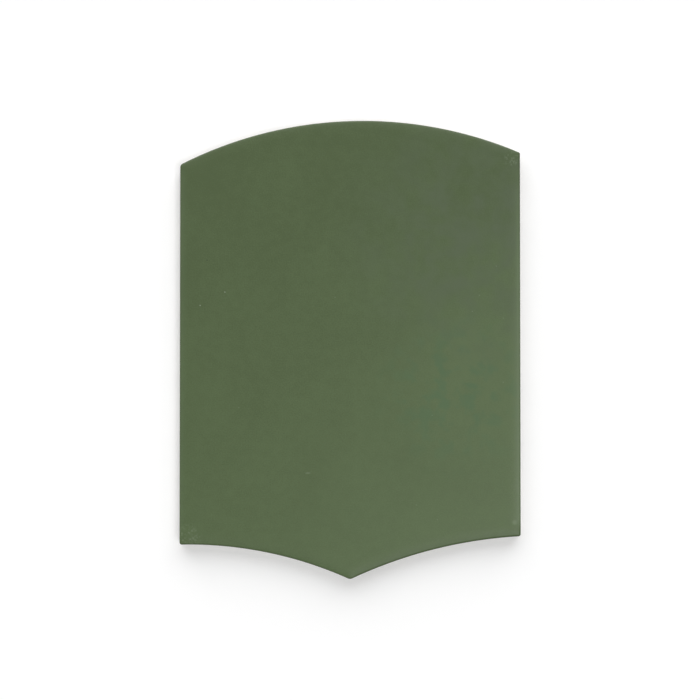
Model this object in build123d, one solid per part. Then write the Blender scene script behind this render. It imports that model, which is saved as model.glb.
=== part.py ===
from build123d import *
import os

# Shield-shaped glazed porcelain tile, lying flat on its keyed back.
# Frame in millimetres: +X to the right side, +Y to the crown, +Z out of the glazed face.
# The origin is at the middle of the tile's plan box, on the plane that the back rests on.

# Plan of the tile
tile_width = 150.0
side_length = 168.2
crown_rise = 16.7
tail_point_drop = 17.1
left_tail_rise = 4.3
right_tail_rise = 3.75
corner_radius = 1.0
left_shoulder_radius = 1.8
tail_point_radius = 2.0

# The tile is fired a little out of square: how much higher the right end of each line stands
shoulder_step = 5.3
heel_step = 3.7

# Section of the tile
tile_thickness = 9.0
cushion_width = 5.0
cushion_drop = 0.35
face_arris_radius = 0.8
back_bevel = 0.5

# Waffle key on the back: square drafted pockets between flat ribs, inside a flat rim
rim_width = 7.0
pocket_pitch = 11.5
rib_width = 3.0
pocket_depth = 0.8
pocket_draft = 20.0
smallest_pocket_share = 0.2


def sharp_plan():
    """Crown arc, two straight sides and the two hollow arcs that meet in the tail's point."""
    half_width = tile_width / 2
    left_shoulder = Vector(-half_width, (side_length - shoulder_step) / 2)
    right_shoulder = Vector(half_width, (side_length + shoulder_step) / 2)
    left_heel = Vector(-half_width, -(side_length + heel_step) / 2)
    right_heel = Vector(half_width, -(side_length - heel_step) / 2)
    tail_point = Vector(0, -side_length / 2 - tail_point_drop)
    outline = [
        SagittaArc(left_shoulder, right_shoulder, crown_rise),
        Line(right_shoulder, right_heel),
        SagittaArc(right_heel, tail_point, -right_tail_rise),
        SagittaArc(tail_point, left_heel, -left_tail_rise),
        Line(left_heel, left_shoulder),
    ]
    return make_face(Curve() + outline)


def eased(plan):
    """The plan with its tail point and outer corners rounded, the left shoulder more than the rest."""
    plan = fillet(plan.vertices().sort_by(Axis.Y)[0], tail_point_radius)
    corners = plan.vertices().sort_by(Axis.Y)[-4:]
    left_shoulder, right_shoulder = corners[-2:].sort_by(Axis.X)
    plan = fillet([*corners[:2], right_shoulder], corner_radius)
    return fillet(plan.vertices().sort_by_distance(left_shoulder)[0], left_shoulder_radius)


def body(plan):
    """Upright wall, a face that falls away towards its edge, and the arris round it."""
    outer = eased(plan)
    inner = eased(offset(plan, -cushion_width, kind=Kind.INTERSECTION))
    wall_height = tile_thickness - cushion_drop
    wall = extrude(outer, wall_height)
    cushion = loft([Pos(0, 0, wall_height) * outer, Pos(0, 0, tile_thickness) * inner], ruled=True)
    blank = wall + cushion
    upper_edges = blank.edges().filter_by_position(Axis.Z, wall_height, wall_height)
    blank = fillet(upper_edges, face_arris_radius)
    return chamfer(blank.faces().sort_by(Axis.Z)[0].edges(), back_bevel)


def pockets(plan):
    """Square pockets on a grid, cut off by the rim, each narrowing towards its floor."""
    field = offset(plan, -rim_width, kind=Kind.INTERSECTION)
    columns = 2 * round(field.bounding_box().size.X / 2 / pocket_pitch)
    rows = 2 * round(field.bounding_box().size.Y / 2 / pocket_pitch) + 2
    pocket_side = pocket_pitch - rib_width
    grid = GridLocations(pocket_pitch, pocket_pitch, columns, rows)
    squares = Sketch() + [place * Rectangle(pocket_side, pocket_side) for place in grid]
    smallest = smallest_pocket_share * pocket_side**2
    mouths = [mouth for mouth in (squares & field).faces() if mouth.area > smallest]
    return [extrude(mouth, pocket_depth, dir=(0, 0, 1), taper=pocket_draft) for mouth in mouths]


plan = sharp_plan()
middle = eased(plan).bounding_box().center()
plan = Pos(-middle.X, -middle.Y) * plan
tile = body(plan) - pockets(plan)

os.makedirs("parts", exist_ok=True)
export_step(tile, "parts/tile.step")
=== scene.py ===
import math
import bpy
import bmesh
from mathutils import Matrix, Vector, noise
from mathutils.bvhtree import BVHTree


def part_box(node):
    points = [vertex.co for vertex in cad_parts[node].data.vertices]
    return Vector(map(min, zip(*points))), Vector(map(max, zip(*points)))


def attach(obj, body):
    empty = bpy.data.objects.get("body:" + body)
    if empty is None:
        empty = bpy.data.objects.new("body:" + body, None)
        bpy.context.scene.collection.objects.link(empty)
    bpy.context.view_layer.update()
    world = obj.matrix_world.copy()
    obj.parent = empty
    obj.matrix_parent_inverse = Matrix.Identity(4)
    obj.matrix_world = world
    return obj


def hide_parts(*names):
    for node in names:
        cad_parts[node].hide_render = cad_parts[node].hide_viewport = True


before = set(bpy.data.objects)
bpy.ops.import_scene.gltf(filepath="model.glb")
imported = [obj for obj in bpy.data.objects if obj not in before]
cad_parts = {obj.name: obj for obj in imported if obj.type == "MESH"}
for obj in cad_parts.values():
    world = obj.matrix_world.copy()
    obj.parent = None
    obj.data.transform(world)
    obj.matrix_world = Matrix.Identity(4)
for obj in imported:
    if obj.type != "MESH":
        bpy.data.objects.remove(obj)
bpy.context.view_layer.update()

# Shape of the tile
# One piece of porcelain, pressed from dry powder between steel dies, glazed and fired once.
# Its crown is an arc, its sides are straight and its tail is two hollow arcs that meet in a point.
# It left the kiln a little out of square: the right ends of its crown and tail stand higher.
MM = 0.001
tile_low, tile_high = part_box("tile")
half_width = (tile_high.x - tile_low.x) / 2
side_length = 168.2 * MM
shoulder_step = 5.3 * MM
heel_step = 3.7 * MM
crown_rise = 16.7 * MM
tail_point_drop = 17.1 * MM
left_tail_rise = 4.3 * MM
right_tail_rise = 3.75 * MM
corner_radius = 1.0 * MM
left_shoulder_radius = 1.8 * MM
tail_point_radius = 2.0 * MM
corner_segments = 5
outline_step = 2.0 * MM
merge_distance = 0.01 * MM

left_shoulder = Vector((-half_width, (side_length - shoulder_step) / 2, 0))
right_shoulder = Vector((half_width, (side_length + shoulder_step) / 2, 0))
right_heel = Vector((half_width, -(side_length - heel_step) / 2, 0))
left_heel = Vector((-half_width, -(side_length + heel_step) / 2, 0))
tail_point = Vector((0, -side_length / 2 - tail_point_drop, 0))


def arc_centre_and_radius(start, end, rise):
    """Circle through both ends that stands out by rise on the left of the way from start to end."""
    way = end - start
    outward = Vector((-way.y, way.x, 0)).normalized()
    radius = (way.length**2 / 4 + rise**2) / (2 * rise)
    return (start + end) / 2 + outward * (rise - radius), radius


# The crown's highest point lies on the end of the tile's box, which places the whole outline
crown_centre, crown_radius = arc_centre_and_radius(left_shoulder, right_shoulder, crown_rise)
to_row_frame = Vector((0, tile_high.y - crown_centre.y - crown_radius, 0))


def arc_to(bm, start, end, rise):
    """Carries the outline from its newest vertex round an arc to the end point."""
    centre, radius = arc_centre_and_radius(start, end, rise)
    turn = -4 * math.atan(2 * rise / (end - start).length)
    steps = round(abs(turn * radius) / outline_step)
    newest = bm.verts[-1]
    bmesh.ops.spin(
        bm, geom=[newest], cent=centre + to_row_frame, axis=(0, 0, 1), angle=turn, steps=steps
    )
    bm.verts.ensure_lookup_table()


def side_to(bm, start, end):
    """Carries the outline from its newest vertex down or up a straight side."""
    steps = round((end - start).length / outline_step)
    for _ in range(steps):
        grown = bmesh.ops.extrude_vert_indiv(bm, verts=[bm.verts[-1]])
        bmesh.ops.translate(bm, verts=grown["verts"], vec=(end - start) / steps)
        bm.verts.ensure_lookup_table()


def round_corner(bm, place, radius):
    """Rounds the outline's corner at that place to a radius, from tangent point to tangent point."""
    corner = min(bm.verts, key=lambda vert: (vert.co - place - to_row_frame).length)
    arms = [edge.other_vert(corner).co - corner.co for edge in corner.link_edges]
    tangent_length = radius / math.tan(arms[0].angle(arms[1]) / 2)
    bmesh.ops.bevel(
        bm, geom=[corner], offset=tangent_length, segments=corner_segments, profile=0.5,
        affect="VERTICES", material=-1, clamp_overlap=False,
    )
    bm.verts.ensure_lookup_table()


outline = bmesh.new()
outline.verts.new(left_shoulder + to_row_frame)
outline.verts.ensure_lookup_table()
arc_to(outline, left_shoulder, right_shoulder, crown_rise)
side_to(outline, right_shoulder, right_heel)
arc_to(outline, right_heel, tail_point, -right_tail_rise)
arc_to(outline, tail_point, left_heel, -left_tail_rise)
side_to(outline, left_heel, left_shoulder)
bmesh.ops.remove_doubles(outline, verts=outline.verts, dist=merge_distance)
bmesh.ops.contextual_create(outline, geom=outline.edges[:])
for place in (right_shoulder, right_heel, left_heel):
    round_corner(outline, place, corner_radius)
round_corner(outline, left_shoulder, left_shoulder_radius)
round_corner(outline, tail_point, tail_point_radius)

# Body of the tile
# The outline is the top of an upright wall. The arris is rolled over where the glaze pulled back
# on firing, and the face falls away a third of a millimetre towards it, like a very flat cushion.
cushion_width = 5.0 * MM
cushion_drop = 0.35 * MM
face_arris_radius = 0.8 * MM
arris_segments = 7
back_bevel = 0.5 * MM
wall_rows = 14
face_grid = 1.25 * MM
cut_tolerance = 0.001 * MM
wave_height = 0.05 * MM
wave_length = 38 * MM
wave_lowering = 0.7
side_grain_depth = 0.03 * MM
side_grain_size = 3 * MM
glaze_thickness = 0.12 * MM
glaze_line_height = 5.6 * MM
glaze_line_wander = 0.9 * MM
glaze_line_wave = 9 * MM
glaze_edge_below = 0.3 * MM
glaze_edge_above = 0.2 * MM

wall_top = tile_high.z - cushion_drop
arris_foot = wall_top - face_arris_radius
outline.faces.ensure_lookup_table()
face = outline.faces[0]
bmesh.ops.translate(outline, verts=outline.verts, vec=(0, 0, wall_top))
wall = bmesh.ops.extrude_edge_only(outline, edges=outline.edges[:])
wall_foot = [item for item in wall["geom"] if isinstance(item, bmesh.types.BMVert)]
bmesh.ops.translate(outline, verts=wall_foot, vec=(0, 0, back_bevel - wall_top))

upright = outline.copy()
upright.faces.ensure_lookup_table()
top_copy = max(upright.faces, key=lambda each: each.calc_area())
bmesh.ops.delete(upright, geom=[top_copy], context="FACES_ONLY")
wall_tree = BVHTree.FromBMesh(upright)
upright.free()


def way_in(place):
    """Distance of a place in plan from the outline."""
    return wall_tree.find_nearest((place.x, place.y, wall_top / 2))[3]


def smooth_share(value, start, end):
    """0 before start, 1 after end and a soft S between them."""
    share = min(max((value - start) / (end - start), 0), 1)
    return share * share * (3 - 2 * share)


# Rows up the wall, the rolled arris and a fine grid on the face
wall_region = outline.verts[:] + outline.edges[:] + [each for each in outline.faces if each is not face]
for row in range(1, wall_rows - 1):
    height = back_bevel + (arris_foot - back_bevel) * row / (wall_rows - 1)
    cut = bmesh.ops.bisect_plane(
        outline, geom=wall_region, dist=cut_tolerance, plane_co=(0, 0, height), plane_no=(0, 0, 1)
    )
    wall_region = cut["geom"]

bmesh.ops.bevel(
    outline, geom=face.edges[:], offset=face_arris_radius, segments=arris_segments, profile=0.5,
    affect="EDGES", material=-1, clamp_overlap=False,
)

face = max(outline.faces, key=lambda each: each.calc_area())
face_region = [face] + face.edges[:] + face.verts[:]
for axis, reach in ((Vector((1, 0, 0)), half_width), (Vector((0, 1, 0)), tile_high.y)):
    cuts = int(reach / face_grid)
    for step in range(-cuts, cuts + 1):
        cut = bmesh.ops.bisect_plane(
            outline, geom=face_region, dist=cut_tolerance, plane_co=axis * step * face_grid,
            plane_no=axis,
        )
        face_region = cut["geom"]

# The face's cushion with its slight waves, lowered so that they stay under the solid's face
for vert in outline.verts:
    inset = way_in(vert.co)
    if vert.co.z > arris_foot:
        fall = (1 - min(inset / cushion_width, 1)) ** 2
        wave = noise.noise(vert.co / wave_length) - wave_lowering
        vert.co.z += cushion_drop * (1 - fall) + wave_height * wave * (1 - fall)

# The bare body below the glaze line stands back by the glaze's thickness and has a faint grain
outline.normal_update()
for vert in outline.verts:
    line = glaze_line_height + glaze_line_wander * noise.noise(vert.co.xy.to_3d() / glaze_line_wave)
    bare = 1 - smooth_share(vert.co.z, line - glaze_edge_below, line + glaze_edge_above)
    if vert.co.z < arris_foot + merge_distance:
        outward = Vector((vert.normal.x, vert.normal.y, 0)).normalized()
        grain = noise.noise(vert.co / side_grain_size) * side_grain_depth
        vert.co -= outward * (glaze_thickness * bare + max(grain, 0))

# Keyed back
# The lower die presses square pockets into the back, between flat ribs and inside a flat rim, so
# that adhesive grips it. They are drafted so that the tile lifts off the die, and stay unglazed.
pocket_depth = 0.8 * MM
level_tolerance = 0.01 * MM
sharp_angle = math.radians(40)


def lies_on_the_back(flat):
    """Whether a face runs only between the plane of the ribs and the floors of the pockets."""
    return all(
        min(abs(vert.co.z), abs(vert.co.z - pocket_depth)) <= level_tolerance for vert in flat.verts
    )


back = bmesh.new()
back.from_mesh(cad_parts["tile"].data)
bmesh.ops.remove_doubles(back, verts=back.verts, dist=cut_tolerance)
off_the_back = [each for each in back.faces if not lies_on_the_back(each)]
bmesh.ops.delete(back, geom=off_the_back, context="FACES")
back_mesh = bpy.data.meshes.new("keyed_back")
back.to_mesh(back_mesh)
back.free()
outline.from_mesh(back_mesh)
bpy.data.meshes.remove(back_mesh)

# Merged points leave three-sided holes in the back. They are filled, and its rim joined to the wall.
slivers = [edge for edge in outline.edges if edge.is_boundary]
bmesh.ops.holes_fill(outline, edges=slivers, sides=3)
back_rims = [edge for edge in outline.edges if edge.is_boundary]
bmesh.ops.bridge_loops(outline, edges=back_rims)
bmesh.ops.recalc_face_normals(outline, faces=outline.faces)
for each in outline.faces:
    each.smooth = True

tile_mesh = bpy.data.meshes.new("glazed_tile")
outline.to_mesh(tile_mesh)
outline.free()
tile_mesh.set_sharp_from_angle(angle=sharp_angle)

glazed_tile = bpy.data.objects.new("glazed_tile", tile_mesh)
bpy.context.scene.collection.objects.link(glazed_tile)
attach(glazed_tile, "root")
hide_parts("tile")

# Glaze and bare porcelain
# A satin moss-green glaze is sprayed over the face and runs down the sides to a wandering line.
# Its colour carries painted light too: paler towards the tail, painted sheen towards the right, a pale
# band on the arris that is partly thin glaze and partly painted highlight, and painted shade on the
# arris right of the tail's point. Below the line, and on the back, the fired porcelain is bare: pale,
# dry and faintly speckled.
glaze_deep = (0.0475, 0.0760, 0.0225, 1)
glaze_pale = (0.0700, 0.1096, 0.0393, 1)
glaze_cool = (0.0450, 0.1000, 0.0390, 1)
glaze_mauve = (0.0620, 0.0890, 0.0430, 1)
glaze_thin_and_highlight = (0.0920, 0.1340, 0.0630, 1)
glaze_painted_shade = (0.0430, 0.0750, 0.0180, 1)
glaze_speck = (0.23, 0.29, 0.19, 1)
glaze_dark_speck = (0.030, 0.050, 0.016, 1)
bare_pale = (0.60, 0.57, 0.51, 1)
bare_grey = (0.47, 0.45, 0.41, 1)
bare_speck = (0.27, 0.25, 0.22, 1)

# The mesh carries how near each place is to the arris, for the glaze to read
arris_band_width = 4.0 * MM
arris_band_low = wall_top - 3 * face_arris_radius
arris_band_high = wall_top - 0.3 * face_arris_radius
arris_nearness = tile_mesh.attributes.new("arris_nearness", "FLOAT", "POINT")
for vert in tile_mesh.vertices:
    across = 1 - smooth_share(way_in(vert.co), 0, arris_band_width)
    upward = smooth_share(vert.co.z, arris_band_low, arris_band_high)
    arris_nearness.data[vert.index].value = across * upward


def empty_tree(owner):
    """Nodes and links of a material or world, with nothing in them yet."""
    owner.use_nodes = True
    owner.node_tree.nodes.clear()
    return owner.node_tree.nodes, owner.node_tree.links


def add(kind, settings=None, **sockets):
    """A node in the tree at hand. Its sockets are given by name, or by number as s0, s1 and so on."""
    node = nodes.new(kind)
    for name, value in (settings or {}).items():
        setattr(node, name, value)
    for name, value in sockets.items():
        key = int(name[1:]) if name[0] == "s" and name[1:].isdigit() else name.replace("_", " ")
        if isinstance(value, bpy.types.NodeSocket):
            links.new(value, node.inputs[key])
        else:
            node.inputs[key].default_value = value
    return node


def maths(operation, first, second):
    """Result of an operation on two numbers."""
    return add("ShaderNodeMath", {"operation": operation}, s0=first, s1=second).outputs[0]


def times(first, second):
    """Product of two numbers."""
    return maths("MULTIPLY", first, second)


def cloud(place, size_mm, detail, shift=0.0):
    """Soft noise between 0 and 1, with features of about that size. The shift keeps clouds apart."""
    moved = add("ShaderNodeVectorMath", {"operation": "ADD"}, s0=place, s1=(shift, shift, shift))
    found = add(
        "ShaderNodeTexNoise", {"noise_dimensions": "3D"}, Vector=moved.outputs[0],
        Scale=1 / size_mm, Detail=detail, Roughness=0.55,
    )
    return found.outputs["Fac"]


def ramp(value, low, high, start=0.0, end=1.0):
    """The value between low and high becomes a soft share between start and end."""
    found = add(
        "ShaderNodeMapRange", {"interpolation_type": "SMOOTHSTEP"}, Value=value,
        From_Min=low, From_Max=high, To_Min=start, To_Max=end,
    )
    return found.outputs[0]


def blend(share, first, second):
    """Colour between two colours."""
    return add("ShaderNodeMix", {"data_type": "RGBA"}, s0=share, s6=first, s7=second).outputs[2]


def between(share, first, second):
    """Number between two numbers."""
    return add("ShaderNodeMix", {"data_type": "FLOAT"}, s0=share, s2=first, s3=second).outputs[0]


glaze = bpy.data.materials.new("moss_glaze_over_porcelain")
nodes, links = empty_tree(glaze)
texture_place = add("ShaderNodeTexCoord").outputs["Object"]
scaled_place = add("ShaderNodeVectorMath", {"operation": "SCALE"}, s0=texture_place, Scale=1 / MM)
place_mm = scaled_place.outputs[0]
x_mm, y_mm, z_mm = add("ShaderNodeSeparateXYZ", Vector=place_mm).outputs
flat_place = add("ShaderNodeCombineXYZ", X=x_mm, Y=y_mm).outputs[0]


def spot(centre_mm, outer_mm, inner_mm, stretch=(1, 1, 0)):
    """1 inside the inner radius round a place in plan and 0 outside the outer one."""
    scaled = add("ShaderNodeVectorMath", {"operation": "MULTIPLY"}, s0=flat_place, s1=stretch)
    middle = (centre_mm[0] * stretch[0], centre_mm[1] * stretch[1], 0)
    away = add("ShaderNodeVectorMath", {"operation": "DISTANCE"}, s0=scaled.outputs[0], s1=middle)
    return ramp(away.outputs["Value"], outer_mm, inner_mm)


# Tone, from deep to pale: painted light makes it paler towards the tail, painted sheen paler towards
# the right and the right middle, and painted shade darker at the top right; a wash, a mottle and a
# grain vary it as well
tail_fade_mm = (150.0, -150.0)
right_fade_mm = (-120.0, 120.0)
right_share = 0.5
tone_drop = 0.15
tone_range = 0.62
painted_sheen_area_mm = (74, 0)
painted_sheen_reach_mm = 70.0
painted_sheen_area_share = 0.8
painted_shade_area_mm = (60, 86)
painted_shade_reach_mm = 50.0
painted_shade_area_share = 0.35
wash = cloud(place_mm, 30.0, detail=3.0)
mottle = ramp(cloud(place_mm, 3.2, detail=3.0, shift=40.0), 0.3, 0.7)
grain = cloud(place_mm, 0.6, detail=2.0, shift=12.0)
wash_share = 1.2
mottle_share = 0.2
grain_share = 2.1

# Painted light: paler towards the tail. Painted sheen: paler towards the right
painted_light_towards_tail = ramp(y_mm, *tail_fade_mm)
painted_sheen_towards_right = times(ramp(x_mm, *right_fade_mm), right_share)
# Painted sheen: paler at the right middle. Painted shade: darker at the top right
painted_sheen_area = times(spot(painted_sheen_area_mm, painted_sheen_reach_mm, 0.0), painted_sheen_area_share)
painted_shade_area = times(spot(painted_shade_area_mm, painted_shade_reach_mm, 0.0), painted_shade_area_share)
tone_and_painted_light = maths("ADD", painted_light_towards_tail, maths("SUBTRACT", painted_sheen_towards_right, tone_drop))
tone_and_painted_light = maths("SUBTRACT", maths("ADD", tone_and_painted_light, painted_sheen_area), painted_shade_area)
for texture, share in ((wash, wash_share), (mottle, mottle_share), (grain, grain_share)):
    tone_and_painted_light = maths("ADD", tone_and_painted_light, times(maths("SUBTRACT", texture, 0.5), share))
glaze_colour = blend(times(tone_and_painted_light, tone_range), glaze_deep, glaze_pale)

# Casts on the right of the face: blue-green in small patches, and a soft mauve above them
cool_area_mm = (47, -18)
cool_share = 0.6
mauve_area_mm = (58, 50)
mauve_share = 0.85
cool_clouds = ramp(cloud(place_mm, 7.0, detail=3.0, shift=90.0), 0.46, 0.64)
cool_patch = times(cool_clouds, spot(cool_area_mm, 44.0, 8.0))
glaze_colour = blend(times(cool_patch, cool_share), glaze_colour, glaze_cool)
mauve_clouds = ramp(cloud(place_mm, 11.0, detail=3.0, shift=33.0), 0.25, 0.75)
mauve_patch = times(mauve_clouds, spot(mauve_area_mm, 75.0, 15.0))
glaze_colour = blend(times(mauve_patch, mauve_share), glaze_colour, glaze_mauve)

# Edges: pale along the sides, partly thin glaze and partly painted highlight, which is strongest on
# the right one; and painted shade on the arris right of the tail's point
side_ends_mm = (86.0, 74.0)
right_highlight_mm = (71.5, 74.5)
right_highlight_fade_mm = (88.0, 30.0)
least_thinness = 0.28
tail_edge_mm = (-74.0, -81.0)
right_of_point_mm = (-4.0, 6.0)
painted_shade_share = 0.85
nearness = add("ShaderNodeAttribute", {"attribute_name": "arris_nearness"}).outputs["Fac"]
from_middle = add("ShaderNodeMath", {"operation": "ABSOLUTE"}, s0=y_mm).outputs[0]
on_the_sides = ramp(from_middle, *side_ends_mm)
# Painted highlight: the pale band along the right arris
right_painted_highlight = times(ramp(x_mm, *right_highlight_mm), ramp(y_mm, *right_highlight_fade_mm))
thinness_and_highlight = maths("ADD", times(right_painted_highlight, 1 - least_thinness), least_thinness)
thinned_and_highlighted = times(times(nearness, thinness_and_highlight), on_the_sides)
glaze_colour = blend(thinned_and_highlighted, glaze_colour, glaze_thin_and_highlight)
# Painted shade: darker along the arris right of the tail's point
on_the_tail = ramp(y_mm, *tail_edge_mm)
right_of_point = ramp(x_mm, *right_of_point_mm, end=painted_shade_share)
painted_shade_by_tail = times(times(nearness, on_the_tail), right_of_point)
glaze_colour = blend(painted_shade_by_tail, glaze_colour, glaze_painted_shade)

# Marks: pinholes, a short scratch, scuffed corners, one soft pale spot and one dark speck
pinhole_radius_mm = 0.28
clear_pinholes_mm = [(-55.1, 25.2), (-66.0, 19.3)]
faint_pinholes_mm = [
    (53.8, 16.7), (56.9, 23.8), (67.4, 13.7), (67.4, -14.5), (-48.9, -25.6),
    (-6.6, 22.9), (29.1, -68.4), (38.4, -74.9), (64.4, 36.6), (36.1, -29.1),
]
scratch_mm = (-18.5, -54.4)
scratch_stretch = (0.3, 1, 0)
left_heel_scuff_mm = (-71.6, -83.0)
right_shoulder_scuff_mm = (71.5, 84.0)
right_heel_spot_mm = (72.3, -76.1)
dark_spot_mm = (-63.0, 39.2)
faint_share = 0.4
soft_spot_share = 0.35
speck_share = 0.6
specks = times(spot(scratch_mm, 0.5, 0.1, stretch=scratch_stretch), faint_share)
for centre in clear_pinholes_mm:
    specks = maths("MAXIMUM", specks, spot(centre, pinhole_radius_mm * 1.5, pinhole_radius_mm * 0.5))
for centre in faint_pinholes_mm:
    faint = times(spot(centre, pinhole_radius_mm * 1.3, pinhole_radius_mm * 0.3), faint_share)
    specks = maths("MAXIMUM", specks, faint)
scuff_marks = ramp(cloud(place_mm, 0.9, detail=3.0, shift=77.0), 0.50, 0.66)
for centre, reach in ((left_heel_scuff_mm, 8.0), (right_shoulder_scuff_mm, 5.0)):
    scuff = times(times(scuff_marks, spot(centre, reach, reach * 0.3)), faint_share)
    specks = maths("MAXIMUM", specks, scuff)
specks = maths("MAXIMUM", specks, times(spot(right_heel_spot_mm, 1.6, 0.3), soft_spot_share))
glaze_colour = blend(times(specks, speck_share), glaze_colour, glaze_speck)
glaze_colour = blend(spot(dark_spot_mm, 0.45, 0.2), glaze_colour, glaze_dark_speck)

# Bare porcelain, and the wandering line that the glaze ends at
bare_speck_share = 0.5
line_wander_mm = 2.6
line_softness_mm = 0.12
bare_cloud = ramp(cloud(place_mm, 14.0, detail=3.0, shift=15.0), 0.35, 0.7)
bare_dots = ramp(cloud(place_mm, 0.5, detail=1.0, shift=7.0), 0.68, 0.74)
bare_colour = blend(bare_cloud, bare_pale, bare_grey)
bare_colour = blend(times(bare_dots, bare_speck_share), bare_colour, bare_speck)
line_cloud = cloud(flat_place, glaze_line_wave / MM, detail=2.0)
line_wander = times(maths("SUBTRACT", line_cloud, 0.5), line_wander_mm)
line_height = maths("ADD", line_wander, glaze_line_height / MM)
glazed = ramp(maths("SUBTRACT", z_mm, line_height), -line_softness_mm, line_softness_mm)

# Relief, in millimetres: a soft ripple and fine grain in the glaze, and a dry tooth where it is bare
ripple_depth_mm = 0.02
grain_depth_mm = 0.004
speck_depth_mm = 0.05
bare_depth_mm = 0.05
ripple = times(cloud(place_mm, 2.4, detail=2.0, shift=61.0), ripple_depth_mm)
fine_grain = times(cloud(place_mm, 0.35, detail=2.0, shift=3.0), grain_depth_mm)
glaze_relief = maths("SUBTRACT", maths("ADD", ripple, fine_grain), times(specks, speck_depth_mm))
bare_relief = times(cloud(place_mm, 0.45, detail=4.0, shift=5.0), bare_depth_mm)
relief = between(glazed, bare_relief, glaze_relief)
surface_bump = add("ShaderNodeBump", Strength=1.0, Distance=MM, Height=relief)

glaze_roughness = ramp(mottle, 0.0, 1.0, start=0.34, end=0.39)
bare_roughness = 0.85
surface = add(
    "ShaderNodeBsdfPrincipled", Base_Color=blend(glazed, bare_colour, glaze_colour),
    Roughness=between(glazed, bare_roughness, glaze_roughness),
    Normal=surface_bump.outputs["Normal"], Specular_IOR_Level=0.35,
)
add("ShaderNodeOutputMaterial", Surface=surface.outputs["BSDF"])
tile_mesh.materials.append(glaze)

# Floor
# A plain white studio table top. The camera sees a sixth of its white as its own, so that it stays
# white to the edges of the picture, and the rest as light that it returns, which holds the shadow.
table_half_width = 3.0
table_white = (0.8, 0.8, 0.8, 1)
table_seen_white = (0.87, 0.87, 0.87, 1)
table_own_white = 0.155
white = (1, 1, 1, 1)

table = bmesh.new()
bmesh.ops.create_grid(table, x_segments=1, y_segments=1, size=table_half_width)
table_mesh = bpy.data.meshes.new("table_top")
table.to_mesh(table_mesh)
table.free()
table_top = bpy.data.objects.new("table_top", table_mesh)
bpy.context.scene.collection.objects.link(table_top)


def seen_ray():
    """1 for a ray from the camera, straight, mirrored or through glass, and 0 for any other."""
    path = add("ShaderNodeLightPath")
    seen = maths("MAXIMUM", path.outputs["Is Camera Ray"], path.outputs["Is Glossy Ray"])
    return maths("MAXIMUM", seen, path.outputs["Is Transmission Ray"])


table_paint = bpy.data.materials.new("white_table_top")
nodes, links = empty_tree(table_paint)
lit = add("ShaderNodeBsdfDiffuse", Color=table_white)
shown_lit = add("ShaderNodeBsdfDiffuse", Color=table_seen_white)
shown_own = add("ShaderNodeEmission", Color=white, Strength=table_own_white)
shown = add("ShaderNodeAddShader", s0=shown_lit.outputs[0], s1=shown_own.outputs[0])
either = add("ShaderNodeMixShader", s0=seen_ray(), s1=lit.outputs[0], s2=shown.outputs[0])
add("ShaderNodeOutputMaterial", Surface=either.outputs[0])
table_mesh.materials.append(table_paint)

# Light
# A white studio: an even dome, a broad soft light behind the crown that throws the tile's shadow
# past the tail, a smaller one high on the right that gives the glaze its sheen, and a weak one
# on the left.
dome_share = 0.23
key_share = 0.43
sheen_share = 0.26
fill_share = 0.07

world = bpy.data.worlds.new("studio_dome")
bpy.context.scene.world = world
nodes, links = empty_tree(world)
dome_light = add("ShaderNodeBackground", Color=white, Strength=dome_share)
dome_seen = add("ShaderNodeBackground", Color=white, Strength=1.0)
either = add("ShaderNodeMixShader", s0=seen_ray(), s1=dome_light.outputs[0], s2=dome_seen.outputs[0])
add("ShaderNodeOutputWorld", Surface=either.outputs[0])


def soft_light(name, share, tilt, heading, spread):
    """Light from far off. Tilt is from straight up, heading from +X towards +Y, in degrees."""
    lamp = bpy.data.lights.new(name, "SUN")
    lamp.energy = share * math.pi / math.cos(math.radians(tilt))
    lamp.angle = math.radians(spread)
    holder = bpy.data.objects.new(name, lamp)
    bpy.context.scene.collection.objects.link(holder)
    holder.rotation_euler = (0, math.radians(tilt), math.radians(heading))


soft_light("key_light", key_share, tilt=61, heading=90, spread=82)
soft_light("sheen_light", sheen_share, tilt=22, heading=-42, spread=22)
soft_light("fill_light", fill_share, tilt=36, heading=180, spread=50)

# Camera
# It looks down on the middle of the tile, with the crown at the top of the picture. It leans a
# little towards the tail, which the photograph shows 1.5 pixels wider than the crown end.
image_width_px = 700
tile_width_px = 340.5
camera_lens = 100.0
sensor_width = 36.0
camera_lean = math.radians(1.3)
aim_left_of_middle = 0.05 * MM
aim_below_middle = 0.30 * MM
seen_width = 2 * half_width * image_width_px / tile_width_px
camera_reach = seen_width * camera_lens / sensor_width

camera_data = bpy.data.cameras.new("camera")
camera_data.lens = camera_lens
camera_data.sensor_width = sensor_width
camera = bpy.data.objects.new("camera", camera_data)
bpy.context.scene.collection.objects.link(camera)
camera.location = (
    -aim_left_of_middle,
    -aim_below_middle - camera_reach * math.sin(camera_lean),
    arris_foot + camera_reach * math.cos(camera_lean),
)
camera.rotation_euler = (camera_lean, 0, 0)
bpy.context.scene.camera = camera
bpy.context.scene.view_settings.view_transform = "Standard"
